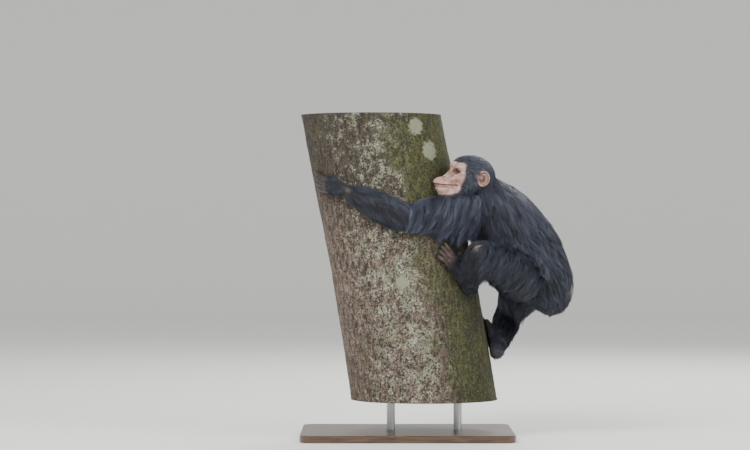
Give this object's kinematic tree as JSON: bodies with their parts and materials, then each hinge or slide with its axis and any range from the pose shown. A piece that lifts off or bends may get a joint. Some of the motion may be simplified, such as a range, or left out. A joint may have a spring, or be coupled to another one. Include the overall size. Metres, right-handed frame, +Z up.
{
  "type": "chimpanzee model",
  "caption": "Life-size still model of a young chimpanzee clinging to a cut length of leaning tree trunk, on a flat display stand with short rods.",
  "frame": {"origin": "centre of the underside of the stand's base, on the floor", "axes": "+Z up; +X towards the animal's back, away from the trunk; the animal's left side faces -Y"},
  "size_m": [0.9843, 0.6396, 1.159],
  "materials": {
    "bark": "rough bark with grey-green lichen and moss",
    "board": "satin stained hardwood",
    "steel_rod": "brushed",
    "eye": "polished dark brown",
    "face_skin": "matte pinkish tan skin",
    "dark_skin": "matte dark skin with sparse hair",
    "black_coat": "long black hair with a soft blue-grey sheen"
  },
  "bodies": {
    "root": {"perch_trunk": "bark", "stand_base": "board", "stand_rod_left": "steel_rod", "stand_rod_right": "steel_rod", "eye_left": "eye", "eye_right": "eye", "head": "face_skin", "chest": "black_coat", "hips": "black_coat", "neck": "black_coat", "ear_left": "face_skin", "ear_right": "face_skin", "upper_arm_left": "black_coat", "forearm_left": "black_coat", "thigh_left": "black_coat", "shin_left": "black_coat", "hand_left": "dark_skin", "foot_left": "dark_skin", "upper_arm_right": "black_coat", "forearm_right": "black_coat", "thigh_right": "black_coat", "shin_right": "black_coat", "hand_right": "dark_skin", "foot_right": "dark_skin"}
  },
  "joints": []
}
